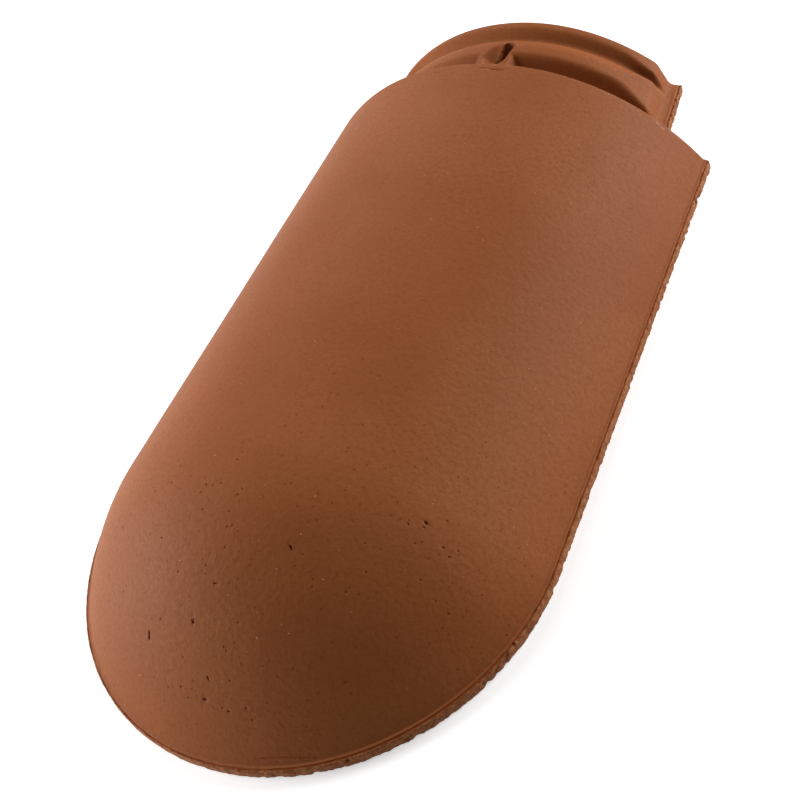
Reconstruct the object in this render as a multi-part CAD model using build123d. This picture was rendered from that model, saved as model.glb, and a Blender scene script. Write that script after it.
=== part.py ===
from build123d import *
import os
from math import radians, sqrt, tan

# Half-round ridge tile with a closed, domed lower end and a ribbed spigot at the upper end.
# It is one pressed and fired piece of clay. Sizes are in millimetres.
# X runs across the tile, +Y towards the spigot and +Z up. The tile lies on its rim at Z = 0,
# and the origin is in the middle of its length and width.

# Body
HALF_WIDTH = 110.8            # middle of the tile to the crease above the lip
RISE = 62.3                   # crown of the arch above the crease
STRAIGHT_LENGTH = 243.0       # shoulder to the start of the dome
WALL = 11.0                   # thickness of the arch and of the dome

# Trimmed lip along the whole rim
LIP_HEIGHT = 6.5
LIP_LEDGE = 2.7               # how far the lip stands out past the crease
LIP_ROUND = 1.0               # rounding of the lip's upper corner
CREASE_ROUND = 2.0
SHOULDER_ROUND = 0.8          # rounding of the arch's upper edge

# Spigot, which the arch of the next tile covers
SPIGOT_LENGTH = 53.5
CROWN_CLEARANCE = 1.6         # ribs of the spigot to the inside of the next tile, at the crown
SIDE_CLEARANCE = 5.0          # the same sideways, at the height of the spigot's crease
SPIGOT_WALL = 10.0            # below the floors of the grooves
SPIGOT_CREASE = 12.5          # height of the spigot's crease above the rim of the body
SPIGOT_LIP_HEIGHT = 5.3
SPIGOT_LEDGE = 5.8
SPIGOT_CREASE_ROUND = 2.5
SIDE_FACE_ANGLE = 71.0        # flat side face, from the spigot's crease up to the ribs
SIDE_FACE_INSET = 8.0         # foot of the side face, inside the line of the ribs
SIDE_SPREAD = 3.5             # how much further out the side face is at the shoulder
SIDE_ROUND = 8.0              # rounding between the ribs and the side face

# Ribs and grooves of the spigot, from its end back to the shoulder
RIB_HEIGHT = 6.6
END_RIB_WIDTH = 8.2
GROOVE_FLOOR_WIDTH = 3.2      # floor of the narrow groove between the ribs
BROAD_RIB_WIDTH = 20.1
END_RIB_FLANK = 3.2           # run of the end rib's sloping side
BROAD_RIB_END_FLANK = 5.1     # the same on the broad rib, towards the end rib
BROAD_RIB_FLANK = 3.5         # and towards the shoulder
BROAD_RIB_ROUND = 4.0         # rounding of the broad rib, towards the shoulder
RIB_ROUND = 2.0               # of the other edges of the ribs
GROOVE_ROUND = 2.2
GROOVE_END_HEIGHT = 4.2       # where the grooves have run out, above the spigot's crease
GROOVE_FADE_HEIGHT = 3.6      # height over which they run out

# Boss and nail slot at the crown of the spigot
BOSS_WIDTH = 20.0
BOSS_FOOT_WIDTH = 25.0
BOSS_ROUND = 3.0
SLOT_WIDTH = 6.8
SLOT_LENGTH = 17.5
SLOT_SETBACK = 26.9           # middle of the slot to the end of the spigot
SLOT_SIDE = 4.1               # to the right of the crown
SLOT_TURN = 9.0               # of its far end to the right, in degrees
SCOOP_RADIUS = 8.0            # thumb-shaped hollow beside the slot, on its left
SCOOP_DEPTH = 2.4             # at its near end, from where it rises to the crown
SCOOP_LENGTH = 13.0

# Underside
RAMP_LENGTH = 32.0            # slope from the arch's hollow down to the spigot's narrower one
RAMP_SETBACK = 6.0            # end of the slope, short of the shoulder

# Room that a cutting solid has past the faces that it cuts, how near a corner is found,
# and how far the turned ribs go over the crown and under the floors that they end on
PAST = 5.0
NEAR = 0.01
SEAM = 0.05


def half_chord(radius, centre, height):
    """Half the width of an arch at a height."""
    return sqrt(radius ** 2 - (height - centre) ** 2)


def radius_over(half_width, rise):
    """Radius of an arch by half its width and its rise."""
    return (half_width ** 2 + rise ** 2) / (2 * rise)


# Places worked out from the sizes: the body
ARCH_RADIUS = radius_over(HALF_WIDTH, RISE)
ARCH_CENTRE = LIP_HEIGHT + RISE - ARCH_RADIUS
HOLLOW_RADIUS = ARCH_RADIUS - WALL
TOTAL_LENGTH = HALF_WIDTH + LIP_LEDGE + STRAIGHT_LENGTH + SPIGOT_LENGTH
SPIGOT_END = TOTAL_LENGTH / 2
SHOULDER = SPIGOT_END - SPIGOT_LENGTH
DOME_CENTRE = SHOULDER - STRAIGHT_LENGTH

# The spigot's arches: over the ribs, on the floors of the grooves and inside
SPIGOT_CROWN = LIP_HEIGHT + RISE - WALL - CROWN_CLEARANCE
RIB_HALF_CHORD = half_chord(HOLLOW_RADIUS, ARCH_CENTRE, SPIGOT_CREASE) - SIDE_CLEARANCE
RIB_RADIUS = radius_over(RIB_HALF_CHORD, SPIGOT_CROWN - SPIGOT_CREASE)
SPIGOT_CENTRE = SPIGOT_CROWN - RIB_RADIUS
GROOVE_RADIUS = RIB_RADIUS - RIB_HEIGHT
SPIGOT_HOLLOW_RADIUS = GROOVE_RADIUS - SPIGOT_WALL

# The ribs and the ramp, along the tile
END_RIB_START = SPIGOT_END - END_RIB_WIDTH
BROAD_RIB_END = END_RIB_START - GROOVE_FLOOR_WIDTH
BROAD_RIB_START = BROAD_RIB_END - BROAD_RIB_WIDTH
RAMP_END = SHOULDER - RAMP_SETBACK
RAMP_START = RAMP_END - RAMP_LENGTH


def side_face_at(height, spread):
    """The point of a side face, or of its line carried on, at a height, by how far out the face is."""
    foot = RIB_HALF_CHORD - SIDE_FACE_INSET + spread
    return foot - (height - SPIGOT_CREASE) / tan(radians(SIDE_FACE_ANGLE)), height


def mirrored(points):
    """The same points on the left, in the opposite order."""
    return [(-x, z) for x, z in reversed(points)]


def rounded(section, points, radius):
    """A section with its corners at some points rounded."""
    def is_named(corner):
        return any((Vector(corner.X, corner.Y) - Vector(*point)).length < NEAR for point in points)

    return fillet(section.vertices().filter_by(is_named), radius)


def arched_section(right, crown):
    """A section that is alike on both sides: its right-hand points, upwards, and an arch over the crown."""
    left = mirrored(right)
    outline = Polyline(*right) + ThreePointArc(right[-1], (0, crown), left[0]) + Polyline(*left)
    return make_face(outline + Line(left[-1], right[0]))


def lip(crease, ledge, height):
    """The right-hand lip beside a crease: its foot and its upper corner."""
    return [(crease[0] + ledge, crease[1] - height), (crease[0] + ledge, crease[1])]


def body_section():
    """The arch and its lip, filled down to the rim."""
    crease = (HALF_WIDTH, LIP_HEIGHT)
    foot, corner = lip(crease, LIP_LEDGE, LIP_HEIGHT)
    section = arched_section([foot, corner, crease], LIP_HEIGHT + RISE)
    section = rounded(section, [corner, *mirrored([corner])], LIP_ROUND)
    return rounded(section, [crease, *mirrored([crease])], CREASE_ROUND)


def space_under(radius, centre):
    """Section of all that is under an arch, carried on below the rim."""
    half = half_chord(radius, centre, 0)
    arch = ThreePointArc((half, 0), (0, centre + radius), (-half, 0))
    return make_face(arch + Polyline((-half, 0), (-half, -PAST), (half, -PAST), (half, 0)))


def along(section, start, end):
    """A section of the tile, drawn across it, extruded from one place to another along it."""
    return Pos(0, end, 0) * extrude(Plane.XZ * section, end - start)


def right_half(section):
    size = 2 * TOTAL_LENGTH
    return section & Pos(size / 2, 0) * Rectangle(size, size)


def turned_end(section):
    """Half a turn of a section about the upright axis of the dome, on the side away from the spigot."""
    dome_axis = Axis((0, 0, 0), (0, 0, -1))
    return Pos(0, DOME_CENTRE, 0) * revolve(Plane.XZ * right_half(section), dome_axis, 180)


def body():
    section = body_section()
    straight = along(section, DOME_CENTRE, SHOULDER)
    shoulder_arch = straight.faces().sort_by(Axis.Y)[-1].edges().sort_by(SortBy.LENGTH)[-1]
    return fillet(shoulder_arch, SHOULDER_ROUND) + turned_end(section)


def spreading(section):
    """A solid along the spigot, from a function that draws its section by how far out the side faces are."""
    spreads = {RAMP_END: SIDE_SPREAD * (SPIGOT_END - RAMP_END) / SPIGOT_LENGTH, SPIGOT_END: 0}
    return loft([Pos(0, y, 0) * (Plane.XZ * section(spread)) for y, spread in spreads.items()], ruled=True)


def spigot_section(spread):
    """The spigot without its ribs: the floors of its grooves, its side faces and its lip."""
    crease = side_face_at(SPIGOT_CREASE, spread)
    foot, corner = lip(crease, SPIGOT_LEDGE, SPIGOT_LIP_HEIGHT)
    run_out = side_face_at(SPIGOT_CREASE + GROOVE_END_HEIGHT, spread)
    floor_height = run_out[1] + GROOVE_FADE_HEIGHT
    floor = (half_chord(GROOVE_RADIUS, SPIGOT_CENTRE, floor_height), floor_height)
    section = arched_section([foot, corner, crease, run_out, floor], SPIGOT_CENTRE + GROOVE_RADIUS)
    section = rounded(section, [corner, *mirrored([corner])], LIP_ROUND)
    return rounded(section, [crease, *mirrored([crease])], SPIGOT_CREASE_ROUND)


def between_side_faces(spread):
    """The space between the side faces, from the foot of the spigot's lip to well above the crown."""
    foot = side_face_at(SPIGOT_CREASE - SPIGOT_LIP_HEIGHT, spread)
    top = side_face_at(SPIGOT_CROWN + PAST, spread)
    return make_face(Polyline(foot, top, *mirrored([foot, top]), foot))


def rib_outline():
    """Half of a lengthwise section of the ribbed ring, from the spigot's axis outwards."""
    floor = GROOVE_RADIUS - SEAM
    crest = RIB_RADIUS + SEAM
    floors = [(place, floor) for place in (BROAD_RIB_START, BROAD_RIB_END, END_RIB_START)]
    broad_crest = (BROAD_RIB_START + BROAD_RIB_FLANK, crest)
    crest_ends = (BROAD_RIB_END - BROAD_RIB_END_FLANK, END_RIB_START + END_RIB_FLANK, SPIGOT_END)
    crests = [(place, crest) for place in crest_ends]
    top = [(RAMP_END, floor), floors[0], broad_crest, crests[0], floors[1], floors[2], crests[1], crests[2]]
    outline = make_face(Polyline((RAMP_END, 0), *top, (SPIGOT_END, 0), (RAMP_END, 0)))
    outline = rounded(outline, [broad_crest], BROAD_RIB_ROUND)
    return rounded(rounded(outline, crests, RIB_ROUND), floors, GROOVE_ROUND)


def ribs():
    """The ribbed ring, turned about the spigot's axis and cut at the side faces, where the ribs end."""
    arch = along(space_under(RIB_RADIUS, SPIGOT_CENTRE), RAMP_END, SPIGOT_END)
    arch = arch & spreading(between_side_faces)
    arch = fillet(arch.edges().filter_by(GeomType.BSPLINE).sort_by(Axis.Z)[-2:], SIDE_ROUND)
    return arch & Pos(0, 0, SPIGOT_CENTRE) * revolve(Plane.YZ * rib_outline(), Axis.Y, 360)


def nail_boss():
    """Drafted pad that bridges the first groove at the crown, as high as the ribs."""
    slope = (BOSS_FOOT_WIDTH - BOSS_WIDTH) / 2 / RIB_HEIGHT
    foot = (BOSS_FOOT_WIDTH / 2 + slope * PAST, SPIGOT_CROWN - RIB_HEIGHT - PAST)
    top = (BOSS_WIDTH / 2 - slope * PAST, SPIGOT_CROWN + PAST)
    pad = make_face(Polyline(foot, top, *mirrored([foot, top]), foot))
    pad = pad & Pos(0, SPIGOT_CENTRE) * Circle(RIB_RADIUS)
    pad = fillet(pad.vertices().sort_by(Axis.Y)[-2:], BOSS_ROUND)
    return along(pad, RAMP_END, BROAD_RIB_START + BROAD_RIB_FLANK + BROAD_RIB_ROUND)


def scoop():
    """The thumb-shaped hollow: it follows the slot's left edge and has run out at the slot's far end."""
    near = Vector(SLOT_LENGTH / 2 - SCOOP_LENGTH, SLOT_WIDTH / 2, SPIGOT_CROWN - SCOOP_DEPTH + SCOOP_RADIUS)
    far = Vector(SLOT_LENGTH / 2, SLOT_WIDTH / 2, SPIGOT_CROWN + SCOOP_RADIUS)
    run = far - near
    rod = extrude(Plane(near, z_dir=run) * Circle(SCOOP_RADIUS), run.length)
    return rod + Pos(near) * Sphere(SCOOP_RADIUS)


def nail_slot():
    """Slot through the crown, with the hollow beside it that guides the nail."""
    slot = extrude(SlotOverall(SLOT_LENGTH, SLOT_WIDTH), SPIGOT_CROWN + PAST)
    return Pos(SLOT_SIDE, SPIGOT_END - SLOT_SETBACK, 0) * Rot(0, 0, 90 - SLOT_TURN) * (slot + scoop())


def hollow():
    """The open space under the tile: dome, arch, slope and spigot."""
    arch = space_under(HOLLOW_RADIUS, ARCH_CENTRE)
    spigot = space_under(SPIGOT_HOLLOW_RADIUS, SPIGOT_CENTRE)
    ramp_ends = [Pos(0, RAMP_START, 0) * (Plane.XZ * arch), Pos(0, RAMP_END, 0) * (Plane.XZ * spigot)]
    space = turned_end(arch) + along(arch, DOME_CENTRE, RAMP_START)
    return space + loft(ramp_ends, ruled=True) + along(spigot, RAMP_END, SPIGOT_END + PAST)


def ridge_tile():
    spigot = spreading(spigot_section) + ribs() + nail_boss()
    return body() + spigot - hollow() - nail_slot()


os.makedirs("parts", exist_ok=True)
tile = ridge_tile()
export_step(tile, "parts/ridge_tile.step")
print("ridge_tile", len(tile.solids()), round(tile.volume / 1000), "cm3", tile.bounding_box())
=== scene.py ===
from math import acos, atan2, cos, log2, pi, radians, sin, tan

import bmesh
import bpy
import numpy as np
from mathutils import Matrix, Vector, noise
from mathutils.bvhtree import BVHTree
from mathutils.kdtree import KDTree

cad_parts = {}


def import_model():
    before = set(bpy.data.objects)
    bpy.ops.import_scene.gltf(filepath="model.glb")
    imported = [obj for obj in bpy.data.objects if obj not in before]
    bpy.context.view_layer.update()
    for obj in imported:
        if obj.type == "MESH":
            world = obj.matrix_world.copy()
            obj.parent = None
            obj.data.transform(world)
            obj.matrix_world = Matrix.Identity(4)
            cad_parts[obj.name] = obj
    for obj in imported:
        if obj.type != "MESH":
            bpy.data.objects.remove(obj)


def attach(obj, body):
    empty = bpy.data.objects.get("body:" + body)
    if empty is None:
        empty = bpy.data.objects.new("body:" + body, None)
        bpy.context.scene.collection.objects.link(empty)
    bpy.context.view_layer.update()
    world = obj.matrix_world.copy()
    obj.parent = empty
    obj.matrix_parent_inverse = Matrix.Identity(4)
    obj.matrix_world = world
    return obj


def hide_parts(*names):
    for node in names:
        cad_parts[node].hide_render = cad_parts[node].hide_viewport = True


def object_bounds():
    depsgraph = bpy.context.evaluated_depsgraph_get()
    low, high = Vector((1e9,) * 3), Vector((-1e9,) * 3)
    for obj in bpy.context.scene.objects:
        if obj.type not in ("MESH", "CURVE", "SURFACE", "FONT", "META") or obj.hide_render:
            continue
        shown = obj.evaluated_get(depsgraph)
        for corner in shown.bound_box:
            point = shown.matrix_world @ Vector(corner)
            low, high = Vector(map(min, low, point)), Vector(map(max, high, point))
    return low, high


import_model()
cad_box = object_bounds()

# Shapes are worked out in millimetres and written to the mesh in metres
MM = 0.001

# Sizes of the tile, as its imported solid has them
LIP_SIDE = cad_box[1].x / MM                 # outer side of the lip, from the middle
SPIGOT_END = cad_box[1].y / MM
CROWN = cad_box[1].z / MM
HALF_WIDTH = 110.8                           # middle to the crease above the lip
CREASE_HEIGHT = 6.5
WALL = 11.0
SPIGOT_LENGTH = 53.5
SPIGOT_CROWN = 56.2
RIB_RADIUS = 111.0
RIB_HEIGHT = 6.6
SPIGOT_WALL = 10.0
SPIGOT_CREASE = 12.5
SPIGOT_FOOT = 7.2                            # underside of the spigot's lip
SIDE_FOOT = 80.27                            # foot of the spigot's side face, at its end
SIDE_SPREAD = 3.5
SIDE_ANGLE = radians(71)
RAMP_START = 113.5
RAMP_END = 145.5

# Places worked out from the sizes
RISE = CROWN - CREASE_HEIGHT
ARCH_RADIUS = (HALF_WIDTH ** 2 + RISE ** 2) / (2 * RISE)
ARCH_CENTRE = CROWN - ARCH_RADIUS
HOLLOW_RADIUS = ARCH_RADIUS - WALL
SHOULDER = SPIGOT_END - SPIGOT_LENGTH
DOME_CENTRE = LIP_SIDE - SPIGOT_END
SPIGOT_CENTRE = SPIGOT_CROWN - RIB_RADIUS
GROOVE_RADIUS = RIB_RADIUS - RIB_HEIGHT
SPIGOT_HOLLOW_RADIUS = GROOVE_RADIUS - SPIGOT_WALL

# Roundings
BODY_CREASE_ROUND = 1.0
SPIGOT_CREASE_ROUND = 4.4
SHOULDER_ROUND = 0.8
END_ROUND = 1.3
SIDE_BLEND = 1.0
LIP_ROUND_SHARE = 0.2                        # share of an edge's rounding that its lip gets

# Ribs: the places along the tile where the ribbed outline turns, its levels there, and how soft it is
RIB_TURNS = (171.5, 177.5, 184.5, 189.5, 193.4, 194.6, 199.6)
RIB_LEVELS = (0, 1, 1, 0.8, 0.3, 0.3, 1)
RIB_SOFTNESS = 1.9
RIB_SAMPLES = 17                             # places over which the outline is softened
CREST = 180.0                                # a place on the crest between the two grooves
VALLEY = 193.6                               # middle of the second groove
GROOVE_END = 19.5                            # height at which the grooves begin to run out
GROOVE_GONE = 12.8
NARROWING_START = 33.0                       # height at which the grooves begin to narrow
NARROWING = (0.5, 2.2)                       # how much the first and the second groove narrow

# Boss, slot and scoop at the crown of the spigot
BOSS_HALF_TOP = 10.0
BOSS_HALF_FOOT = 12.5
BOSS_SOFTNESS = 1.8
SLOT_PLACE = (4.1, 178.1)
SLOT_TURN = radians(9)
SLOT_HALF_LENGTH = 8.75
SLOT_HALF_WIDTH = 3.4
SCOOP_RADIUS = 8.0
SCOOP_DEPTH = 4.2
SCOOP_LENGTH = 13.0
SCOOP_SOFTNESS = 1.0
SCOOP_PAST = 1.0                             # how far the scoop may reach past the slot's end
SCOOP_CLEARANCE = 0.1                        # and how near it may come to the shoulder
SLOT_NEAR = 25.0                             # the scoop lies within this distance of the slot's middle

# Heights over the spigot's crown and how much wider the cut of the slot is there, which rounds its edge
SLOT_LEVELS = ((-30, 0), (-0.7, 0), (-0.35, 0.08), (-0.12, 0.22), (0, 0.4), (0.3, 0.9), (4, 5))
SLOT_SIDES = 48

# Rows across the tile, from the crown out to the rim and back inside to the crown
ARCH_ROWS = 80
CREASE_ROWS = 4
UNDER_ROWS = 5
RISE_ROWS = 3
HOLLOW_ROWS = 40

# Stations along the tile and round its dome, as fine as the lip has them
BODY_STATIONS = 272
ROUND_STATIONS = 8
FACE_STATIONS = 16
SPIGOT_STATIONS = 120
DOME_STATIONS = 448
SKIN_STEP = 2
LIP_STEP = 1
HOLLOW_STEP = 4
DOME_STEP_MOST = 32
DOME_WIDE = 60.0                             # inside this radius the dome's stations thin out
CAP_ROWS = 4
WELD_DECIMALS = 3                            # vertices that agree to so many decimals are made one

# Relief of the clay: lengths and depths of its waves on the skin, in the lip's groove and on the underside
WAVES = ((60, 0.3), (24, 0.1))
SKIN_INSET = 0.12                            # mean depth of the skin's waves
GROOVE_WAVES = ((2.5, 0.5),)
UNDER_WAVES = ((30, 0.3), (8, 0.12), (3.5, 0.06))

# Roughness of the cut strip: its mean depth, and lengths and depths of its chips, grit and burrs
STRIP_INSET = 0.08
CHIP_NOISE = (3.0, 1.1)
GRIT_NOISE = (1.4, 0.35)
BURR_NOISE = (4.0, 0.3)
SMOOTHER_LEFT = 0.3                          # share of that roughness on the left side
LEFT_SPAN = (0.5, -0.25)                     # shares of the half width between which it falls to that
SMOOTH_RUN = 4.0                             # run over which the spigot's lip grows smooth towards its end

# Pits of the skin as the photograph shows them, carved and darkened with painted shade: pixel of one end,
# pixel of the other end, half width
PITS = (
    ((192.8, 622.2), (192.8, 622.2), 0.75),
    ((191.4, 619.8), (194.2, 620.0), 0.4),
    ((148.9, 632.0), (148.9, 639.0), 0.6),
    ((290.0, 546.4), (291.0, 547.6), 0.7),
    ((203.6, 699.4), (205.6, 699.8), 0.75),
    ((213.8, 583.3), (217.0, 583.3), 0.4),
    ((228.5, 711.8), (228.5, 711.8), 0.6),
    ((207.0, 677.0), (208.2, 679.6), 0.45),
    ((180.8, 686.8), (180.8, 686.8), 0.5),
    ((245.9, 708.2), (245.9, 708.2), 0.5),
    ((425.4, 522.2), (426.8, 523.6), 0.7),
    ((423.9, 527.3), (423.9, 527.3), 0.5),
    ((449.4, 557.2), (449.4, 557.2), 0.5),
    ((443.1, 547.6), (443.1, 547.6), 0.5),
    ((408.3, 524.2), (408.3, 524.2), 0.45),
    ((414.6, 543.6), (414.6, 543.6), 0.45),
    ((206.3, 484.1), (206.3, 484.1), 0.45),
    ((122.9, 526.2), (122.9, 526.2), 0.55),
    ((161.4, 537.4), (161.4, 537.4), 0.45),
)
# Small pits, carved and darkened with painted shade, by pixel
SMALL_PITS = (
    (212.4, 485.0), (237.8, 494.4), (242.0, 488.5), (221.0, 482.6), (200.7, 491.8), (236.9, 459.1),
    (302.7, 554.1), (312.5, 578.9), (311.9, 586.5), (346.0, 592.0), (366.0, 572.2), (364.6, 543.5),
    (420.4, 580.0), (435.4, 601.3), (447.6, 521.1), (458.3, 551.0), (222.3, 708.5), (223.6, 646.8),
    (226.0, 651.0), (188.2, 697.8), (229.5, 681.0), (224.7, 547.4), (227.2, 526.5), (232.0, 525.2),
    (229.0, 511.0), (202.2, 509.0), (171.6, 482.0), (154.8, 490.8), (132.0, 491.0), (131.8, 513.7),
    (108.9, 575.0), (122.9, 591.4), (160.3, 619.0), (182.5, 657.0), (168.0, 687.3), (205.8, 565.5),
    (178.0, 571.6), (237.9, 622.6), (252.2, 720.2), (448.0, 614.0), (506.6, 635.7), (467.0, 100.0),
)
SMALL_PIT_SIZE = 0.44
SMALL_PIT_SHADE = 0.8
PIT_DEPTH_SHARE = 0.8                        # depth of a pit, as a share of its half width

# Light grains in the skin, by pixel
GRAINS = (
    (483.0, 240.0), (300.8, 534.0), (276.5, 568.7), (228.0, 595.0), (288.6, 633.5), (256.5, 637.6),
    (323.0, 579.6), (139.7, 675.3), (148.7, 568.0), (179.6, 560.4), (315.0, 496.0), (315.0, 341.0),
)
GRAIN_SIZE = 0.35
GRAIN_HEIGHT = 0.08

# Scratch near the dome's lip and cracks by the shoulder's crown, carved and darkened with painted shade:
# pixels of their ends, half width, depth
CRACKS = (
    ((259.9, 758.5), (285.0, 757.2), 0.25, 0.12),
    ((285.0, 757.2), (310.4, 757.5), 0.25, 0.12),
    ((480.5, 67.5), (490.0, 68.0), 0.3, 0.3),
    ((491.0, 69.0), (503.0, 70.0), 0.35, 0.35),
    ((434.0, 73.0), (441.0, 71.5), 0.3, 0.25),
)
CRACK_SHADE = 0.8

# Chips of the cut strip, carved and darkened with painted shade: pixel, half width and depth
CHIPS = (
    ((699.5, 198.5), 2.6, 2.2),
    ((697.0, 203.5), 1.8, 1.2),
    ((518.0, 641.0), 0.8, 0.6),
    ((513.0, 644.0), 0.7, 0.5),
    ((504.0, 664.0), 0.9, 0.6),
    ((484.0, 685.0), 0.9, 0.6),
    ((468.5, 702.0), 0.9, 0.6),
    ((347.0, 762.0), 0.8, 0.5),
    ((310.0, 773.0), 0.8, 0.5),
    ((274.0, 776.0), 0.8, 0.5),
    ((263.0, 775.0), 0.7, 0.4),
)
CHIP_SHADE = 0.4

# Painted highlights: pale glints on the shoulder's edge, also set a little into it: pixels of their ends
EDGE_GLINTS = (
    ((657.0, 122.0), (659.0, 123.8)),
    ((661.0, 126.0), (664.2, 129.2)),
)
EDGE_GLINT_SIZE = 0.8
EDGE_GLINT_DEPTH = 0.12
EDGE_GLINT_TONE = -0.36

MARK_EDGE = (0.25, 1.1)                      # shares of its half width between which a mark fades out

# Finer mesh: reach of each round of halving past the size of a grain, and of the one round the slot
FINE_REACH = (1.5, 0.8, 0.35)
SLOT_REACH = 15.0
SMALLEST_EDGE = 0.012                        # shorter edges are closed up first

# Clay colours, as linear light
CLAY = (0.250, 0.073, 0.018, 1)
CLAY_DEEP = (0.200, 0.052, 0.012, 1)
CLAY_PALE = (0.295, 0.098, 0.031, 1)
# Painted shade in the pits, cracks and chips, and also the dark grit of the cut strip
PIT_SHADE_AND_GRIT_COLOUR = (0.135, 0.018, 0.002, 1)
FLECK_COLOUR = (0.150, 0.028, 0.004, 1)
# Light grains and specks, and also the painted highlights on the shoulder's edge
GRAIN_AND_GLINT_COLOUR = (0.55, 0.33, 0.20, 1)
TRIM_COLOUR = (0.34, 0.140, 0.055, 1)
# Painted light: the lip's crease and ledge are painted paler than the clay, as if lit from above
LEDGE_LIGHT_COLOUR = (0.340, 0.115, 0.038, 1)
# Painted shade: the lip's groove is tinted the deeper red of the shade and bounced light inside it
GROOVE_SHADE_COLOUR = (0.28, 0.059, 0.012, 1)
UNDER_COLOUR = (0.28, 0.090, 0.028, 1)
SPECULAR_LEVEL = 0.1
ROUGHNESS = (0.56, 0.64)
ROUGHNESS_SPAN = (0.3, 0.7)

# Mottling: length and detail of each noise, then the span of that noise and the shares it turns into
BROAD_MOTTLE = (70, 3)
BROAD_SPAN = (0.35, 0.7)
FINE_MOTTLE = (1.6, 4)
FINE_SPAN = (0.4, 0.75, 0.0, 0.45)
CLAY_SHARE = 0.7                             # share of the plain clay in the broad mottling

# Dark flecks and light specks: cell, size and rarity, then their shares
FLECKS = (3.0, 0.64, 0.6)
FLECK_SHARES = (0.75, 0.25)                  # on the dome, and past the tile's middle
LIGHT_SPECKS = (5, 0.4, 0.6)
LIGHT_SPECK_SHARE = 0.35
SPECK_CORE = 0.5                             # share of a speck's size that is at its full tone
CHANCE_STEP = 0.01                           # so narrow that a cell has its speck or has none
WOBBLE = (1.2, 0.9)                          # length and reach of the noise that makes them uneven

# Shares of the underside's and the lip's colours, with noise of the rough cut strip
UNDER_SHARE = 0.6
# share of the painted light on the lip's crease and ledge
LEDGE_LIGHT_SHARE = 0.8
# share of the painted shade in the lip's groove
GROOVE_SHADE_SHARE = 0.8
TRIM_LENGTH = 1.5
TRIM_SPAN = (0.4, 0.6, 0.1, 0.9)
GRIT_LENGTH = 1.0
GRIT_SPAN = (0.55, 0.7, 0.0, 0.7)
MARK_SPAN = (0.1, 0.8)                       # tones between which the colour of a mark comes in

# Orange peel: length and detail of its two noises, share of the finer one, and depth
PEEL = (2.6, 1)
FINE_PEEL = (1.0, 2)
FINE_PEEL_SHARE = 0.5
PEEL_DEPTH = 0.18

# Studio, in metres: the floor, and lamps by azimuth, elevation, diameter and watts
FLOOR_HALF = 4.0
FLOOR_DROP = 0.0001
WHITE = (1, 1, 1, 1)
FLOOR_COLOUR = (0.8, 0.8, 0.8, 1)
FLOOR_GLOW = 0.55
FLOOR_FADE = (0.8, 2.0)                      # distances between which the floor's glow rises to white
AMBIENT = 0.02
LAMP_AIM = Vector((0, -0.02, 0.03))
LAMP_DISTANCE = 1.5
LAMPS = ((290, 20, 1.2, 29.5), (140, 18, 1.2, 31.5), (220, 38, 1.0, 8.0), (335, 6, 0.9, 5.5))

# Camera, found by matching the outline of the tile in the photograph
CAMERA_UNIT = 0.1125                         # metres in one unit of the distances below
CAMERA_ORIGIN = Vector((0, -0.09301, 0.00495))
CAMERA_AZIMUTH = 43.346
CAMERA_ELEVATION = 44.920
CAMERA_ROLL = -26.641
CAMERA_DISTANCE = 4.52605
CAMERA_SIDE = -0.32534
CAMERA_UP = -0.49786
PHOTO_SIZE = 800
PIXEL_FOCUS = 1156.83
SENSOR = 36
CLIPPING = (0.01, 50)


def smoothstep(low, high, value):
    t = np.clip((value - low) / (high - low), 0, 1)
    return t * t * (3 - 2 * t)


def soft_least(a, b, softness):
    """The lesser of two values, rounded where they cross."""
    share = np.clip(0.5 + (b - a) / (2 * softness), 0, 1)
    return b + (a - b) * share - softness * share * (1 - share)


def arc(centre, radius, start, end, count):
    """Points of an arc in a section, by angles from straight up, without the first."""
    turn = np.linspace(start, end, count + 1)[1:]
    return np.column_stack((centre[0] + radius * np.sin(turn), centre[1] + radius * np.cos(turn)))


def line(start, end, count):
    """Points of a straight run in a section, without the first."""
    return np.linspace(start, end, count + 1)[1:]


def body_lip():
    """Ledge, dark groove and trimmed strip of the body's lip, from the crease to its foot."""
    x, top = LIP_SIDE, CREASE_HEIGHT
    ledge = [(x - 1.68, top), (x - 1.57, top - 0.08)]
    groove = [(x - 1.48, top - 0.35), (x - 1.38, top - 0.7), (x - 1.24, top - 0.75), (x - 1.12, top - 0.6)]
    corner = [(x - 0.95, top - 0.5), (x - 0.5, top - 0.52), (x - 0.2, top - 0.9)]
    side = [(x - 0.03, top - 1.9), (x, 3.3), (x - 0.03, 1.9), (x - 0.2, 0.7)]
    foot = [(x - 0.6, 0.12), (x - 1.2, 0)]
    return np.array(ledge + groove + corner + side + foot, float)


def spigot_lip(crease):
    """The same rows of the spigot's lip, from the place of its crease."""
    x, top = crease, SPIGOT_CREASE
    ledge = [(x + 3.2, top), (x + 4.3, top - 0.15)]
    groove = [(x + 4.42, top - 0.3), (x + 4.52, top - 0.45), (x + 4.66, top - 0.45), (x + 4.78, top - 0.3)]
    corner = [(x + 4.95, top - 0.1), (x + 5.6, top - 0.12), (x + 5.95, top - 0.4)]
    side = [(x + 6.05, top - 1.3), (x + 6.05, top - 2.5), (x + 6.0, top - 3.7), (x + 5.9, top - 4.7)]
    foot = [(x + 5.5, top - 5.2), (x + 4.8, top - 5.3)]
    return np.array(ledge + groove + corner + side + foot, float)


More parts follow.
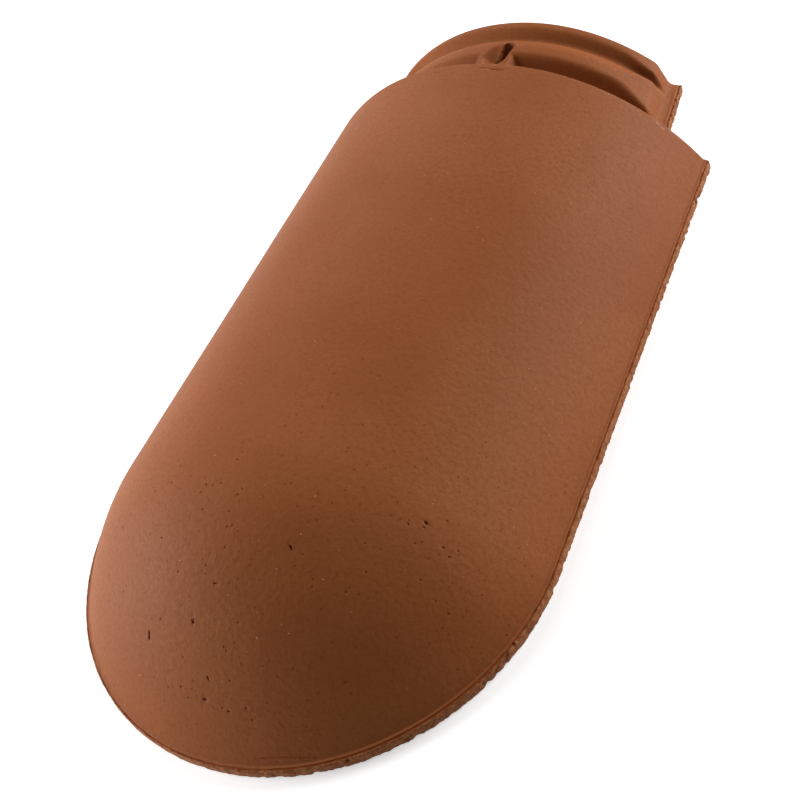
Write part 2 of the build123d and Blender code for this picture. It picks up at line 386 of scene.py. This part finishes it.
LIP_ROWS = len(body_lip())
LEDGE_ROWS = 2
GROOVE_ROWS = 4
FIRST_LEDGE = ARCH_ROWS + CREASE_ROWS + 1
FIRST_LEDGE_LIGHT = FIRST_LEDGE - 2                 # the painted light begins in the crease
FIRST_GROOVE = FIRST_LEDGE + LEDGE_ROWS
FIRST_STRIP = FIRST_GROOVE + GROOVE_ROWS
LAST_STRIP = ARCH_ROWS + CREASE_ROWS + LIP_ROWS
RIM_EDGE = LAST_STRIP + UNDER_ROWS
FIRST_HOLLOW = RIM_EDGE + RISE_ROWS
LAST_ROW = FIRST_HOLLOW + HOLLOW_ROWS


def hollow_rows(radius, centre):
    """Inside of an arch from the rim's plane, past the height of the spigot's foot, up to the crown."""
    rim = acos(-centre / radius)
    foot = acos((SPIGOT_FOOT - centre) / radius)
    edge = [(radius * sin(rim), 0)]
    rise = arc((0, centre), radius, rim, foot, RISE_ROWS)
    return np.vstack((edge, rise, arc((0, centre), radius, foot, 0, HOLLOW_ROWS)))


BODY_HOLLOW = hollow_rows(HOLLOW_RADIUS, ARCH_CENTRE)
SPIGOT_HOLLOW = hollow_rows(SPIGOT_HOLLOW_RADIUS, SPIGOT_CENTRE)


def body_profile(y):
    """Half a section of the body, from the crown of the arch round the lip to the crown of the hollow."""
    steep = np.arcsin(HALF_WIDTH / ARCH_RADIUS)
    reach = BODY_CREASE_ROUND * tan(steep / 2)
    last = steep - reach / ARCH_RADIUS
    arch = np.vstack(([(0, CROWN)], arc((0, ARCH_CENTRE), ARCH_RADIUS, 0, last, ARCH_ROWS)))
    centre = (HALF_WIDTH + reach, CREASE_HEIGHT + BODY_CREASE_ROUND)
    crease = arc(centre, BODY_CREASE_ROUND, pi + steep, pi, CREASE_ROWS)
    lip = body_lip()
    ramp = smoothstep(RAMP_START, RAMP_END, y)
    hollow = BODY_HOLLOW + (SPIGOT_HOLLOW - BODY_HOLLOW) * ramp
    under = line(lip[-1], hollow[0], UNDER_ROWS)
    return np.vstack((arch, crease, lip, under, hollow[1:]))


def side_distance(angle, crease):
    """Distance from the spigot's axis to its side face, by angle from straight up."""
    slope = 1 / tan(SIDE_ANGLE)
    return (crease + (SPIGOT_CREASE - SPIGOT_CENTRE) * slope) / (np.sin(angle) + np.cos(angle) * slope)


def side_place(height, crease):
    return crease - (height - SPIGOT_CREASE) / tan(SIDE_ANGLE)


def narrowed(y, share):
    """Where the ribs' outline is read for a place along the tile, so that its grooves narrow by a share."""
    if y < CREST:
        return np.minimum(SHOULDER + (y - SHOULDER) * (1 + NARROWING[0] * share), CREST)
    return np.maximum(VALLEY + (y - VALLEY) * (1 + NARROWING[1] * share), CREST)


def rib_level(places):
    """Height of the ribs at places along the tile, from 0 on the grooves' floors to 1, softened."""
    spread = np.linspace(-2 * RIB_SOFTNESS, 2 * RIB_SOFTNESS, RIB_SAMPLES)
    weight = np.exp(-(spread / RIB_SOFTNESS) ** 2)
    return np.interp(places[:, None] + spread, RIB_TURNS, RIB_LEVELS) @ weight / weight.sum()


def boss_level(x):
    """Height of the boss across the tile, from 0 to 1, softened."""
    middle = (BOSS_HALF_TOP + BOSS_HALF_FOOT) / 2
    half = (BOSS_HALF_FOOT - BOSS_HALF_TOP) / 2 + BOSS_SOFTNESS
    return 1 - smoothstep(middle - half, middle + half, np.abs(x))


def spigot_arch(y, crease, last):
    """Outer face of the spigot at a place along it, with its ribs, grooves and boss."""
    angle = np.linspace(0, last, ARCH_ROWS + 1)
    crest = soft_least(side_distance(angle, crease), RIB_RADIUS, SIDE_BLEND)
    floor_end = acos((GROOVE_END - SPIGOT_CENTRE) / GROOVE_RADIUS)
    gone = atan2(side_place(GROOVE_GONE, crease), GROOVE_GONE - SPIGOT_CENTRE)
    depth = (crest - GROOVE_RADIUS) * (1 - smoothstep(floor_end, gone, angle))
    narrowing = smoothstep(acos((NARROWING_START - SPIGOT_CENTRE) / GROOVE_RADIUS), gone, angle)
    level = np.maximum(rib_level(narrowed(y, narrowing)), boss_level(crest * np.sin(angle)) * (y < CREST))
    radius = crest - depth * (1 - level)
    return np.column_stack((radius * np.sin(angle), SPIGOT_CENTRE + radius * np.cos(angle)))


def spigot_profile(y):
    """Half a section of the spigot, with as many rows as the body's."""
    crease = SIDE_FOOT + SIDE_SPREAD * (SPIGOT_END - y) / SPIGOT_LENGTH
    reach = SPIGOT_CREASE_ROUND * tan(SIDE_ANGLE / 2)
    height = SPIGOT_CREASE + reach * sin(SIDE_ANGLE)
    last = atan2(side_place(height, crease), height - SPIGOT_CENTRE)
    arch = spigot_arch(y, crease, last)
    centre = (crease + reach, SPIGOT_CREASE + SPIGOT_CREASE_ROUND)
    fillet = arc(centre, SPIGOT_CREASE_ROUND, pi + SIDE_ANGLE, pi, CREASE_ROWS)
    lip = spigot_lip(crease)
    under = line(lip[-1], SPIGOT_HOLLOW[RISE_ROWS], UNDER_ROWS + RISE_ROWS)
    return np.vstack((arch, fillet, lip, under, SPIGOT_HOLLOW[RISE_ROWS + 1:]))


def inset(profile, distance):
    """A profile with its outer rows moved inwards, fading out under the rim."""
    if distance == 0:
        return profile
    run = np.gradient(profile, axis=0)
    inwards = np.column_stack((run[:, 1], -run[:, 0]))
    inwards /= np.linalg.norm(inwards, axis=1)[:, None] + 1e-9
    inwards[0] = (0, -1)
    row = np.arange(len(profile))
    share = 1 + (LIP_ROUND_SHARE - 1) * smoothstep(ARCH_ROWS - LIP_ROWS, FIRST_LEDGE, row)
    share *= 1 - smoothstep(LAST_STRIP, RIM_EDGE, row)
    return profile + inwards * (distance * share)[:, None]


def quarter(count):
    return np.linspace(0, pi / 2, count + 1)[1:]


def stations():
    """Half sections and their places along the tile, from the start of the dome to the spigot's end."""
    rows = []
    for y in np.linspace(DOME_CENTRE, SHOULDER - SHOULDER_ROUND, BODY_STATIONS + 1):
        rows.append((y, body_profile(y)))
    for turn in quarter(ROUND_STATIONS):
        y = SHOULDER - SHOULDER_ROUND * (1 - sin(turn))
        rows.append((y, inset(body_profile(y), SHOULDER_ROUND * (1 - cos(turn)))))
    body, spigot = rows[-1][1], spigot_profile(SHOULDER)
    for share in line(0, 1, FACE_STATIONS):
        rows.append((SHOULDER, body + (spigot - body) * share))
    for y in line(SHOULDER, SPIGOT_END - END_ROUND, SPIGOT_STATIONS):
        rows.append((y, spigot_profile(y)))
    for turn in quarter(ROUND_STATIONS):
        y = SPIGOT_END - END_ROUND * (1 - sin(turn))
        rows.append((y, inset(spigot_profile(y), END_ROUND * (1 - cos(turn)))))
    places = np.array([y for y, profile in rows])
    return places, np.array([profile for y, profile in rows])


def row_step(row):
    """How many of the fine stations one face spans on a row."""
    if row < FIRST_GROOVE or LAST_STRIP < row <= RIM_EDGE:
        return SKIN_STEP
    return LIP_STEP if row <= LAST_STRIP else HOLLOW_STEP


def dome_step(row, radius):
    """The same on the dome, where the stations draw together towards its middle."""
    doublings = max(0, int(log2(DOME_WIDE / max(radius, 1e-3))))
    return min(row_step(row) * 2 ** doublings, DOME_STEP_MOST)


def bridge(near, far):
    """Faces between two rows of vertices, one of which may have twice the faces of the other."""
    if len(near) == len(far):
        return list(zip(near[:-1], near[1:], far[1:], far[:-1]))
    if len(near) < len(far):
        near, far = far, near
    start, middle, end = near[:-2:2], near[1:-1:2], near[2::2]
    faces = list(zip(start, middle, far[:-1]))
    faces += list(zip(middle, end, far[1:]))
    return faces + list(zip(middle, far[1:], far[:-1]))


class Shell:
    """Vertices and faces of the tile as they are gathered, with the row of each vertex."""

    def __init__(self):
        self.points = []
        self.rows = []
        self.faces = []
        self.count = 0

    def add(self, points, row):
        self.points.append(points)
        self.rows.append(np.full(len(points), row))
        self.count += len(points)
        return np.arange(self.count - len(points), self.count)

    def sheet(self, grid, steps):
        """A grid of points by station and row, each row at its own step."""
        picked = [self.add(grid[::step, row], row) for row, step in enumerate(steps)]
        for near, far in zip(picked[:-1], picked[1:]):
            self.faces += bridge(near, far)

    def cap(self, section):
        """The spigot's end: strips across its wall, and one face on the lip."""
        inner = section[FIRST_HOLLOW:][::-1]
        half = np.arange(ARCH_ROWS + 1) / 2
        low = np.floor(half).astype(int)
        high = np.minimum(low + 1, HOLLOW_ROWS)
        matched = inner[low] + (inner[high] - inner[low]) * (half - low)[:, None]
        outer = section[:ARCH_ROWS + 1]
        shares = np.linspace(0, 1, CAP_ROWS + 1)[:-1]
        strips = [self.add(outer + (matched - outer) * share, 0) for share in shares]
        strips.append(self.add(inner, LAST_ROW))
        for near, far in zip(strips[:-1], strips[1:]):
            self.faces += bridge(near, far)
        lip = self.add(section[ARCH_ROWS:FIRST_HOLLOW + 1], 0)
        self.faces.append((*lip, *(strip[-1] for strip in strips[-2:0:-1])))

    def welded(self):
        """Points, rows and faces with meeting vertices made one and empty faces left out."""
        points = np.vstack(self.points)
        rows = np.concatenate(self.rows)
        rounded = np.round(points, WELD_DECIMALS)
        first, place = np.unique(rounded, axis=0, return_index=True, return_inverse=True)[1:]
        place = place.ravel()
        faces = []
        for face in self.faces:
            turned = [int(place[i]) for i in face]
            corners = [v for i, v in enumerate(turned) if v != turned[i - 1]]
            if len(corners) > 2 and len(set(corners)) == len(corners):
                faces.append(corners)
        return points[first], rows[first], faces


def tile_shell():
    """The whole smooth tile as one closed skin."""
    places, profiles = stations()
    across = profiles[:, :, 0]
    along = np.broadcast_to(places[:, None], across.shape)
    steps = [row_step(row) for row in range(LAST_ROW + 1)]
    shell = Shell()
    for side in (1, -1):
        grid = np.stack((side * across, along, profiles[:, :, 1]), axis=2)
        shell.sheet(grid, steps)
        shell.cap(grid[-1])
    turn = np.linspace(0, pi, DOME_STATIONS + 1)[:, None]
    radius, height = profiles[0, :, 0], profiles[0, :, 1]
    dome = np.stack((
        np.cos(turn) * radius,
        DOME_CENTRE - np.sin(turn) * radius,
        np.broadcast_to(height, (len(turn), len(height))),
    ), axis=2)
    shell.sheet(dome, [dome_step(row, radius[row]) for row in range(LAST_ROW + 1)])
    return shell.welded()


def slot_coordinates(points):
    """Places along and across the nail slot, from its middle; across is towards the left."""
    x, y = points[:, 0] - SLOT_PLACE[0], points[:, 1] - SLOT_PLACE[1]
    along = x * sin(SLOT_TURN) + y * cos(SLOT_TURN)
    across = -x * cos(SLOT_TURN) + y * sin(SLOT_TURN)
    return along, across


def scooped(points):
    """The thumb-shaped hollow on the left of the slot, as new heights of the spigot's outer face."""
    along, across = slot_coordinates(points)
    start = SLOT_HALF_LENGTH - SCOOP_LENGTH
    past = np.minimum(along - start, 0)
    off = across - SLOT_HALF_WIDTH
    depth = SCOOP_DEPTH * (SLOT_HALF_LENGTH - np.maximum(along, start)) / SCOOP_LENGTH
    square = SCOOP_RADIUS ** 2 - off ** 2 - past ** 2
    bottom = SPIGOT_CROWN - depth + SCOOP_RADIUS - np.sqrt(np.maximum(square, 0))
    reached = (square > 0) & (along < SLOT_HALF_LENGTH + SCOOP_PAST)
    reached &= points[:, 1] > SHOULDER + SCOOP_CLEARANCE
    return np.where(reached, soft_least(points[:, 2], bottom, SCOOP_SOFTNESS), points[:, 2])


def slot_cutter():
    """Stack of slot outlines, wider at the top so that the slot's edge comes out rounded."""
    count = SLOT_SIDES
    straight = SLOT_HALF_LENGTH - SLOT_HALF_WIDTH
    points = []
    for height, wider in SLOT_LEVELS:
        radius = SLOT_HALF_WIDTH + wider
        for a in np.linspace(0, 2 * pi, count, endpoint=False):
            along = radius * cos(a) + (straight if cos(a) > 0 else -straight)
            across = radius * sin(a)
            x = SLOT_PLACE[0] + along * sin(SLOT_TURN) - across * cos(SLOT_TURN)
            y = SLOT_PLACE[1] + along * cos(SLOT_TURN) + across * sin(SLOT_TURN)
            points.append((x * MM, y * MM, (SPIGOT_CROWN + height) * MM))
    faces = []
    for base in range(0, len(points) - count, count):
        for i in range(count):
            j = (i + 1) % count
            faces.append((base + i, base + j, base + count + j, base + count + i))
    faces.append(tuple(range(count)))
    faces.append(tuple(range(len(points) - count, len(points))))
    return points, faces


def mesh_object(name, points, faces):
    mesh = bpy.data.meshes.new(name)
    mesh.from_pydata(points, [], faces)
    item = bpy.data.objects.new(name, mesh)
    bpy.context.scene.collection.objects.link(item)
    return item


def face_outwards(item):
    shape = bmesh.new()
    shape.from_mesh(item.data)
    bmesh.ops.recalc_face_normals(shape, faces=shape.faces)
    shape.to_mesh(item.data)
    shape.free()


def cut_slot(item):
    cutter = mesh_object("slot_cutter", *slot_cutter())
    face_outwards(cutter)
    change = item.modifiers.new("slot", "BOOLEAN")
    change.operation = "DIFFERENCE"
    change.solver = "EXACT"
    change.object = cutter
    ready = item.evaluated_get(bpy.context.evaluated_depsgraph_get())
    mesh = bpy.data.meshes.new_from_object(ready)
    item.modifiers.clear()
    item.data = mesh
    bpy.data.objects.remove(cutter)


def camera_axes():
    """The camera's place, in metres, and the directions of its side, top and back."""
    a, e, r = radians(CAMERA_AZIMUTH), radians(CAMERA_ELEVATION), radians(CAMERA_ROLL)
    back = Vector((sin(a) * cos(e), -cos(a) * cos(e), sin(e)))
    right = Vector((cos(a), sin(a), 0))
    up = back.cross(right)
    side = right * cos(r) + up * sin(r)
    top = up * cos(r) - right * sin(r)
    offset = side * CAMERA_SIDE + top * CAMERA_UP - back * CAMERA_DISTANCE
    return CAMERA_ORIGIN - offset * CAMERA_UNIT, side, top, back


def seen_place(tree, pixel):
    """Where a pixel of the photograph meets the tile, in millimetres."""
    place, side, top, back = camera_axes()
    half = PHOTO_SIZE / 2
    ray = side * ((pixel[0] - half) / PIXEL_FOCUS) + top * ((half - pixel[1]) / PIXEL_FOCUS) - back
    return np.array(tree.ray_cast(place, ray)[0]) / MM


def marks(shape):
    """Every mark's two ends, half width, depth and tone, where 1 is a pit in full painted shade and -1 a
    light grain.
    """
    tree = BVHTree.FromBMesh(shape)
    found = []
    for start, end, size in PITS:
        found.append((seen_place(tree, start), seen_place(tree, end), size, size * PIT_DEPTH_SHARE, 1))
    for pixel in SMALL_PITS:
        place = seen_place(tree, pixel)
        found.append((place, place, SMALL_PIT_SIZE, SMALL_PIT_SIZE * PIT_DEPTH_SHARE, SMALL_PIT_SHADE))
    for pixel in GRAINS:
        place = seen_place(tree, pixel)
        found.append((place, place, GRAIN_SIZE, -GRAIN_HEIGHT, -1))
    for start, end, size, depth in CRACKS:
        found.append((seen_place(tree, start), seen_place(tree, end), size, depth, CRACK_SHADE))
    # painted highlights on the shoulder's edge
    for start, end in EDGE_GLINTS:
        ends = seen_place(tree, start), seen_place(tree, end)
        found.append((*ends, EDGE_GLINT_SIZE, EDGE_GLINT_DEPTH, EDGE_GLINT_TONE))
    for pixel, size, depth in CHIPS:
        place = seen_place(tree, pixel)
        found.append((place, place, size, depth, CHIP_SHADE))
    return found


def cleaned(shape):
    """Close up tiny edges and split the large faces that the slot's cut leaves."""
    bmesh.ops.dissolve_degenerate(shape, edges=shape.edges, dist=SMALLEST_EDGE * MM)
    last = (SPIGOT_END - END_ROUND) * MM
    large = [face for face in shape.faces if len(face.verts) > 4 and face.calc_center_median().y < last]
    bmesh.ops.triangulate(shape, faces=large)
    shape.verts.index_update()
    shape.edges.index_update()


def refine(shape, centres, reach):
    """Halve the edges that lie within reach of some centres, all in millimetres."""
    verts = list(shape.verts)
    tree = KDTree(len(verts))
    for index, vert in enumerate(verts):
        tree.insert(vert.co, index)
    tree.balance()
    chosen = set()
    for centre in centres:
        chosen.update(verts[index] for _, index, _ in tree.find_range(Vector(centre) * MM, reach * MM))
    edges = {edge for vert in chosen for edge in vert.link_edges if edge.other_vert(vert) in chosen}
    bmesh.ops.subdivide_edges(shape, edges=sorted(edges, key=lambda e: e.index), cuts=1, use_grid_fill=True)
    shape.verts.index_update()
    shape.edges.index_update()


def refine_marks(shape, found):
    refine(shape, [(*SLOT_PLACE, SPIGOT_CROWN)], SLOT_REACH)
    for reach in FINE_REACH:
        centres = []
        for start, end, size, *_ in found:
            count = int(np.linalg.norm(end - start) / size) + 1
            centres += list(np.linspace(start, end, count))
        refine(shape, centres, reach + GRAIN_SIZE)


def waves(place, layers):
    """Sum of noises of the given lengths and depths at a place, around 0."""
    return sum(depth * noise.noise(place / length) / 2 for length, depth in layers)


def strip_depth(place):
    """How far the cut strip lies back at a place, with its chips, grit and burrs."""
    chips = CHIP_NOISE[1] * max(noise.noise(place / CHIP_NOISE[0]), 0)
    grit = GRIT_NOISE[1] * noise.noise(place / GRIT_NOISE[0])
    burrs = BURR_NOISE[1] * max(noise.noise(-place / BURR_NOISE[0]), 0)
    left = smoothstep(LEFT_SPAN[0] * LIP_SIDE, LEFT_SPAN[1] * LIP_SIDE, place.x)
    return STRIP_INSET + (chips + grit - burrs) * (1 + (SMOOTHER_LEFT - 1) * left)


def lip_share(y):
    """Share of the lip's roughness at a place along the tile, which calms down at the spigot's end."""
    return 1 - smoothstep(SPIGOT_END - SMOOTH_RUN, SPIGOT_END - END_ROUND, y)


def mark_depths(places, found):
    """Depth and tone of the marks at each of some places."""
    depths = np.zeros(len(places))
    tones = np.zeros(len(places))
    for start, end, size, depth, tone in found:
        run = end - start
        share = np.clip((places - start) @ run / max(run @ run, 1e-9), 0, 1)
        distance = np.linalg.norm(places - start - share[:, None] * run, axis=1)
        level = 1 - smoothstep(MARK_EDGE[0] * size, MARK_EDGE[1] * size, distance)
        depths += depth * level
        tones = np.where(level * abs(tone) > np.abs(tones), level * tone, tones)
    return depths, tones


def roughened(shape, found):
    """Move the skin in by its waves and marks, and keep the marks' tones for the clay."""
    layer = shape.verts.layers.float
    trim, groove, under, mark = layer["trim"], layer["groove"], layer["under"], layer["mark"]
    verts = list(shape.verts)
    places = np.array([vert.co for vert in verts]) / MM
    normals = np.array([vert.normal for vert in verts])
    depths, tones = mark_depths(places, found)
    for index, vert in enumerate(verts):
        place = Vector(places[index])
        if vert[under] > 0.5:
            depths[index] += waves(place, UNDER_WAVES)
        else:
            depths[index] += SKIN_INSET + waves(place, WAVES)
        if vert[trim] + vert[groove] > 0:
            rough = vert[trim] * strip_depth(place) + vert[groove] * waves(place, GROOVE_WAVES)
            depths[index] += rough * lip_share(place.y)
        vert[mark] = tones[index]
    places -= normals * depths[:, None]
    places = np.clip(places, np.array(cad_box[0]) / MM, np.array(cad_box[1]) / MM)
    for vert, place in zip(verts, places * MM):
        vert.co = place


def add_value(mesh, name, values):
    attribute = mesh.attributes.new(name, "FLOAT", "POINT")
    attribute.data.foreach_set("value", np.asarray(values, np.float32))


def add_relief(item):
    """Make the skin finer where it has marks, and move it in by its relief."""
    shape = bmesh.new()
    shape.from_mesh(item.data)
    cleaned(shape)
    found = marks(shape)
    refine_marks(shape, found)
    shape.normal_update()
    roughened(shape, found)
    shape.to_mesh(item.data)
    shape.free()


def shade(item):
    """Shade the tile smooth, but for the flat ends of the spigot's lip."""
    item.data.shade_smooth()
    for face in item.data.polygons:
        if face.center.y > (SPIGOT_END - END_ROUND) * MM and len(face.vertices) > LIP_ROWS:
            face.use_smooth = False


def tile():
    """The visible tile, with the rows of its lip and underside stored for the clay's colours."""
    points, rows, faces = tile_shell()
    near_slot = np.hypot(points[:, 0] - SLOT_PLACE[0], points[:, 1] - SLOT_PLACE[1]) < SLOT_NEAR
    near_slot &= rows < ARCH_ROWS
    points[near_slot, 2] = scooped(points[near_slot])
    item = mesh_object("tile", (points * MM).tolist(), faces)
    add_value(item.data, "trim", (rows >= FIRST_STRIP) & (rows <= LAST_STRIP))
    add_value(item.data, "groove", (rows >= FIRST_GROOVE) & (rows < FIRST_STRIP))
    # rows of the crease and ledge that get painted light
    add_value(item.data, "ledge_light", (rows >= FIRST_LEDGE_LIGHT) & (rows < FIRST_GROOVE))
    add_value(item.data, "under", rows > LAST_STRIP)
    add_value(item.data, "mark", np.zeros(len(rows)))
    face_outwards(item)
    cut_slot(item)
    add_relief(item)
    shade(item)
    item.data.materials.clear()
    item.data.materials.append(fired_clay())
    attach(item, "root")
    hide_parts("ridge_tile")


def node(tree, kind, inputs, **settings):
    """Add a node; each input gets a value, or a link where another node's output is given."""
    item = tree.nodes.new(kind)
    for name, value in settings.items():
        setattr(item, name, value)
    for key, value in inputs.items():
        if isinstance(value, bpy.types.NodeSocket):
            tree.links.new(value, item.inputs[key])
        else:
            item.inputs[key].default_value = value
    return item


def mixed(tree, share, first, second):
    """The first colour with a share of the second; a mix of colours has its sockets at these numbers."""
    return node(tree, "ShaderNodeMix", {0: share, 6: first, 7: second}, data_type="RGBA").outputs[2]


def span(tree, value, low, high, start=0.0, end=1.0):
    """A value between low and high, brought smoothly to between start and end."""
    inputs = {0: value, 1: low, 2: high, 3: start, 4: end}
    return node(tree, "ShaderNodeMapRange", inputs, interpolation_type="SMOOTHSTEP").outputs[0]


def maths(tree, operation, first, second):
    return node(tree, "ShaderNodeMath", {0: first, 1: second}, operation=operation).outputs[0]


def grain(tree, place, length, detail=2.0):
    """Noise whose lumps are about as long as the given length in millimetres."""
    inputs = {"Vector": place, "Scale": 1 / (length * MM), "Detail": detail}
    return node(tree, "ShaderNodeTexNoise", inputs).outputs[0]


def wobbled(tree, place, length, reach):
    """A place moved about by noise, so that what is drawn there comes out uneven."""
    stir = node(tree, "ShaderNodeTexNoise", {"Vector": place, "Scale": 1 / (length * MM)}).outputs["Color"]
    inputs = {0: stir, 1: (reach * MM,) * 3, 2: place}
    return node(tree, "ShaderNodeVectorMath", inputs, operation="MULTIPLY_ADD").outputs[0]


def specks(tree, place, cell, size, rarity):
    """Specks in some cells of the given length: 1 in a speck, 0 elsewhere."""
    cells = node(tree, "ShaderNodeTexVoronoi", {"Vector": place, "Scale": 1 / (cell * MM)})
    spot = span(tree, cells.outputs["Distance"], size * SPECK_CORE / cell, size / cell, 1.0, 0.0)
    chance = node(tree, "ShaderNodeSeparateColor", {0: cells.outputs["Color"]}).outputs[0]
    return maths(tree, "MULTIPLY", spot, span(tree, chance, rarity, rarity + CHANCE_STEP))


def stored(tree, name):
    return node(tree, "ShaderNodeAttribute", {}, attribute_name=name).outputs["Fac"]


def painted(tree, colour, name, share, paint):
    """A colour with a share of another one where the value of that name is stored."""
    return mixed(tree, maths(tree, "MULTIPLY", stored(tree, name), share), colour, paint)


def skin_colour(tree, place, fine, uneven):
    """Mottled clay, paler on the underside, with dark flecks and light specks."""
    broad = grain(tree, place, *BROAD_MOTTLE)
    colour = mixed(tree, span(tree, broad, *BROAD_SPAN), CLAY_DEEP, CLAY_PALE)
    colour = mixed(tree, CLAY_SHARE, colour, CLAY)
    colour = mixed(tree, span(tree, fine, *FINE_SPAN), colour, CLAY_DEEP)
    colour = painted(tree, colour, "under", UNDER_SHARE, UNDER_COLOUR)
    along = node(tree, "ShaderNodeSeparateXYZ", {0: place}).outputs[1]
    flecked = span(tree, along, DOME_CENTRE * MM, 0.0, *FLECK_SHARES)
    flecks = maths(tree, "MULTIPLY", specks(tree, uneven, *FLECKS), flecked)
    colour = mixed(tree, flecks, colour, FLECK_COLOUR)
    light = maths(tree, "MULTIPLY", specks(tree, uneven, *LIGHT_SPECKS), LIGHT_SPECK_SHARE)
    return mixed(tree, light, colour, GRAIN_AND_GLINT_COLOUR)


def lip_colour(tree, place, uneven, colour):
    """The same with painted light on the lip's crease and ledge, painted shade in its groove, and its rough
    cut strip.
    """
    # Painted light: the crease and ledge are painted paler, as if lit from above
    colour = painted(tree, colour, "ledge_light", LEDGE_LIGHT_SHARE, LEDGE_LIGHT_COLOUR)
    # Painted shade: the lip's groove tinted a deeper red
    colour = painted(tree, colour, "groove", GROOVE_SHADE_SHARE, GROOVE_SHADE_COLOUR)
    trim = stored(tree, "trim")
    rough_cut = maths(tree, "MULTIPLY", trim, span(tree, grain(tree, place, TRIM_LENGTH), *TRIM_SPAN))
    colour = mixed(tree, rough_cut, colour, TRIM_COLOUR)
    gritty = maths(tree, "MULTIPLY", trim, span(tree, grain(tree, uneven, GRIT_LENGTH), *GRIT_SPAN))
    return mixed(tree, gritty, colour, PIT_SHADE_AND_GRIT_COLOUR)


def marked_colour(tree, colour):
    """The same with painted shade in the pits, cracks and chips, and with the light grains and the painted
    highlights on the shoulder's edge pale.
    """
    mark = stored(tree, "mark")
    low, high = MARK_SPAN
    # Painted shade: pits, cracks and chips darkened where their tone is above 0
    colour = mixed(tree, span(tree, mark, low, high), colour, PIT_SHADE_AND_GRIT_COLOUR)
    # Light grains, and painted highlights where the glints on the shoulder's edge are
    return mixed(tree, span(tree, mark, -low, -high), colour, GRAIN_AND_GLINT_COLOUR)


def fired_clay():
    material = bpy.data.materials.new("fired_clay")
    material.use_nodes = True
    tree = material.node_tree
    shader = tree.nodes["Principled BSDF"]
    place = node(tree, "ShaderNodeTexCoord", {}).outputs["Object"]
    fine = grain(tree, place, *FINE_MOTTLE)
    uneven = wobbled(tree, place, *WOBBLE)
    colour = skin_colour(tree, place, fine, uneven)
    colour = lip_colour(tree, place, uneven, colour)
    tree.links.new(marked_colour(tree, colour), shader.inputs["Base Color"])
    tree.links.new(span(tree, fine, *ROUGHNESS_SPAN, *ROUGHNESS), shader.inputs["Roughness"])
    shader.inputs["Specular IOR Level"].default_value = SPECULAR_LEVEL
    fine_peel = maths(tree, "MULTIPLY", grain(tree, place, *FINE_PEEL), FINE_PEEL_SHARE)
    peel = maths(tree, "ADD", grain(tree, place, *PEEL), fine_peel)
    bump = node(tree, "ShaderNodeBump", {"Height": peel, "Strength": 1.0, "Distance": PEEL_DEPTH * MM})
    tree.links.new(bump.outputs[0], shader.inputs["Normal"])
    return material


def seen_directly(tree):
    """1 for rays from the camera and for those mirrored or passed through, 0 for light on the object."""
    path = node(tree, "ShaderNodeLightPath", {})
    gloss = maths(tree, "MAXIMUM", path.outputs["Is Glossy Ray"], path.outputs["Is Transmission Ray"])
    return maths(tree, "MAXIMUM", path.outputs["Is Camera Ray"], gloss)


def floor_material():
    material = bpy.data.materials.new("floor")
    material.use_nodes = True
    tree = material.node_tree
    shader = tree.nodes["Principled BSDF"]
    shader.inputs["Base Color"].default_value = FLOOR_COLOUR
    shader.inputs["Roughness"].default_value = 1
    shader.inputs["Specular IOR Level"].default_value = 0
    shader.inputs["Emission Color"].default_value = WHITE
    place = node(tree, "ShaderNodeTexCoord", {}).outputs["Object"]
    distance = node(tree, "ShaderNodeVectorMath", {0: place}, operation="LENGTH").outputs["Value"]
    strength = span(tree, distance, *FLOOR_FADE, FLOOR_GLOW, 1.0)
    glow = maths(tree, "MULTIPLY", seen_directly(tree), strength)
    tree.links.new(glow, shader.inputs["Emission Strength"])
    return material


def floor():
    side = FLOOR_HALF
    turns = ((-side, -side), (side, -side), (side, side), (-side, side))
    corners = [(x, y, -FLOOR_DROP) for x, y in turns]
    item = mesh_object("floor", corners, [(0, 1, 2, 3)])
    item.data.materials.append(floor_material())


def lamps():
    for index, (azimuth, elevation, diameter, watts) in enumerate(LAMPS):
        a, e = radians(azimuth), radians(elevation)
        away = Vector((sin(a) * cos(e), -cos(a) * cos(e), sin(e)))
        light = bpy.data.lights.new(f"lamp_{index + 1}", "AREA")
        light.shape = "DISK"
        light.size = diameter
        light.energy = watts
        item = bpy.data.objects.new(light.name, light)
        item.location = LAMP_AIM + away * LAMP_DISTANCE
        item.rotation_euler = away.to_track_quat("Z", "Y").to_euler()
        bpy.context.scene.collection.objects.link(item)


def world():
    item = bpy.data.worlds.new("studio")
    item.use_nodes = True
    tree = item.node_tree
    background = tree.nodes["Background"]
    background.inputs["Color"].default_value = WHITE
    strength = maths(tree, "MAXIMUM", seen_directly(tree), AMBIENT)
    tree.links.new(strength, background.inputs["Strength"])
    bpy.context.scene.world = item


def camera():
    place, side, top, back = camera_axes()
    data = bpy.data.cameras.new("camera")
    data.lens = PIXEL_FOCUS / PHOTO_SIZE * SENSOR
    data.clip_start, data.clip_end = CLIPPING
    item = bpy.data.objects.new("camera", data)
    item.matrix_world = Matrix((
        (side.x, top.x, back.x, place.x),
        (side.y, top.y, back.y, place.y),
        (side.z, top.z, back.z, place.z),
        (0, 0, 0, 1),
    ))
    bpy.context.scene.collection.objects.link(item)
    bpy.context.scene.camera = item


tile()
floor()
lamps()
world()
camera()
bpy.context.scene.view_settings.view_transform = "Standard"
